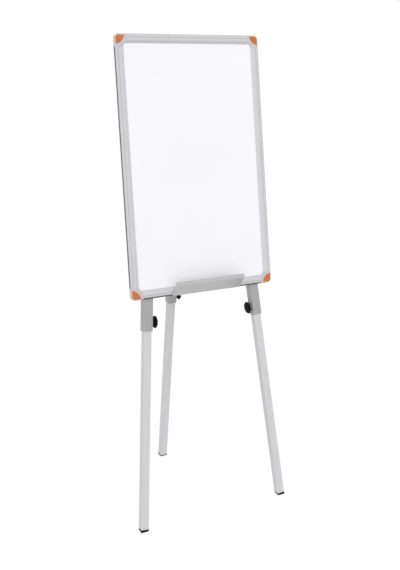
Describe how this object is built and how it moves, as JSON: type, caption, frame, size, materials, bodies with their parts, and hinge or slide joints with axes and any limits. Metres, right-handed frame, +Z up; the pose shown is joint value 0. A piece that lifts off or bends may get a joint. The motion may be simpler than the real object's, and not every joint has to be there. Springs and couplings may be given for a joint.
{
  "type": "whiteboard easel",
  "caption": "Portrait whiteboard with an aluminium frame, orange corner caps and a pen tray, on a folding tripod easel with telescopic legs held by clamp knobs.",
  "frame": {"origin": "on the floor, under the middle of the easel's bounding box as it stands in use", "axes": "+Z up, -Y the side that the writing surface faces, +X to the right of someone who faces it"},
  "size_m": [0.6414, 0.551, 1.8757],
  "materials": {
    "white_lacquer": "gloss white lacquer on steel sheet",
    "panel_core": "matt pressed board",
    "back_foil": "matt backing sheet",
    "frame_aluminium": "satin anodised",
    "corner_grey": "fine matt moulding",
    "cap_orange": "satin moulding",
    "tray_grey": "satin powder coat",
    "tube_grey": "satin grey powder coat",
    "tube_silver": "satin anodised",
    "bracket_grey": "satin powder coat",
    "zinc_steel": "bright zinc plate",
    "black_plastic": "fine matt moulding",
    "grey_nylon": "smooth moulding",
    "foot_rubber": "matt moulding"
  },
  "bodies": {
    "board": {"writing_sheet": "white_lacquer", "board_core": "panel_core", "back_sheet": "back_foil", "bottom_rail": "frame_aluminium", "right_rail": "frame_aluminium", "top_rail": "frame_aluminium", "left_rail": "frame_aluminium", "corner_bottom_left": "corner_grey", "cap_bottom_left": "cap_orange", "corner_bottom_right": "corner_grey", "cap_bottom_right": "cap_orange", "corner_top_right": "corner_grey", "cap_top_right": "cap_orange", "corner_top_left": "corner_grey", "cap_top_left": "cap_orange", "pen_tray": "tray_grey", "corner_screws": "zinc_steel", "saddle_screws": "zinc_steel", "hinge_screws": "zinc_steel", "tray_screws": "zinc_steel", "outer_tube_left": "tube_grey", "guide_bush_left": "grey_nylon", "tube_plug_left": "black_plastic", "clamp_nut_left": "zinc_steel", "outer_tube_right": "tube_grey", "guide_bush_right": "grey_nylon", "tube_plug_right": "black_plastic", "clamp_nut_right": "zinc_steel", "saddle_upper_left": "bracket_grey", "saddle_lower_left": "bracket_grey", "saddle_upper_right": "bracket_grey", "saddle_lower_right": "bracket_grey", "hinge_bracket": "bracket_grey", "hinge_bolt": "zinc_steel", "hinge_nut": "zinc_steel", "hinge_washers": "zinc_steel"},
    "left_leg": {"inner_tube_left": "tube_silver", "inner_glide_left": "grey_nylon", "foot_left": "foot_rubber"},
    "right_leg": {"inner_tube_right": "tube_silver", "inner_glide_right": "grey_nylon", "foot_right": "foot_rubber"},
    "rear_mast": {"outer_tube_rear": "tube_grey", "guide_bush_rear": "grey_nylon", "tube_plug_rear": "black_plastic", "clamp_nut_rear": "zinc_steel", "hinge_sleeve": "zinc_steel"},
    "rear_leg": {"inner_tube_rear": "tube_silver", "inner_glide_rear": "grey_nylon", "foot_rear": "foot_rubber"},
    "left_tip": {"clamp_tip_left": "grey_nylon"},
    "left_knob": {"clamp_knob_left": "black_plastic", "clamp_stud_left": "zinc_steel"},
    "right_tip": {"clamp_tip_right": "grey_nylon"},
    "right_knob": {"clamp_knob_right": "black_plastic", "clamp_stud_right": "zinc_steel"},
    "rear_tip": {"clamp_tip_rear": "grey_nylon"},
    "rear_knob": {"clamp_knob_rear": "black_plastic", "clamp_stud_rear": "zinc_steel"}
  },
  "joints": [
    {"name": "rear_fold", "type": "hinge", "parent": "board", "child": "rear_mast", "pos_m": [0, 0.00433, 1.8536], "axis": [1, 0, 0], "range_deg": [-15.8, 0]},
    {"name": "left_leg_slide", "type": "slide", "parent": "board", "child": "left_leg", "axis": [-0.0837, -0.137, -0.987], "range_m": [-0.75, 0.145]},
    {"name": "right_leg_slide", "type": "slide", "parent": "board", "child": "right_leg", "axis": [0.0837, -0.137, -0.987], "range_m": [-0.75, 0.145]},
    {"name": "rear_leg_slide", "type": "slide", "parent": "rear_mast", "child": "rear_leg", "axis": [0, 0.1366, -0.9906], "range_m": [-0.745, 0.145]},
    {"name": "left_tip_travel", "type": "slide", "parent": "board", "child": "left_tip", "axis": [0.9965, -0.0115, -0.0829], "range_m": [0, 0.0025]},
    {"name": "left_knob_turn", "type": "hinge", "parent": "left_tip", "child": "left_knob", "pos_m": [-0.21251, -0.15076, 0.78646], "axis": [0.9965, -0.0115, -0.0829], "range_deg": [0, 720]},
    {"name": "right_tip_travel", "type": "slide", "parent": "board", "child": "right_tip", "axis": [-0.9965, -0.0115, -0.0829], "range_m": [0, 0.0025]},
    {"name": "right_knob_turn", "type": "hinge", "parent": "right_tip", "child": "right_knob", "pos_m": [0.21251, -0.15076, 0.78646], "axis": [-0.9965, -0.0115, -0.0829], "range_deg": [0, 720]},
    {"name": "rear_tip_travel", "type": "slide", "parent": "rear_mast", "child": "rear_tip", "axis": [1, 0, 0], "range_m": [0, 0.0025]},
    {"name": "rear_knob_turn", "type": "hinge", "parent": "rear_tip", "child": "rear_knob", "pos_m": [0.02575, 0.15156, 0.7857], "axis": [1, 0, 0], "range_deg": [0, 720]}
  ],
  "couplings": [
    {"joint": "left_tip_travel", "follows": "left_knob_turn", "m_per_rad": 0.00019894},
    {"joint": "right_tip_travel", "follows": "right_knob_turn", "m_per_rad": 0.00019894},
    {"joint": "rear_tip_travel", "follows": "rear_knob_turn", "m_per_rad": 0.00019894}
  ]
}
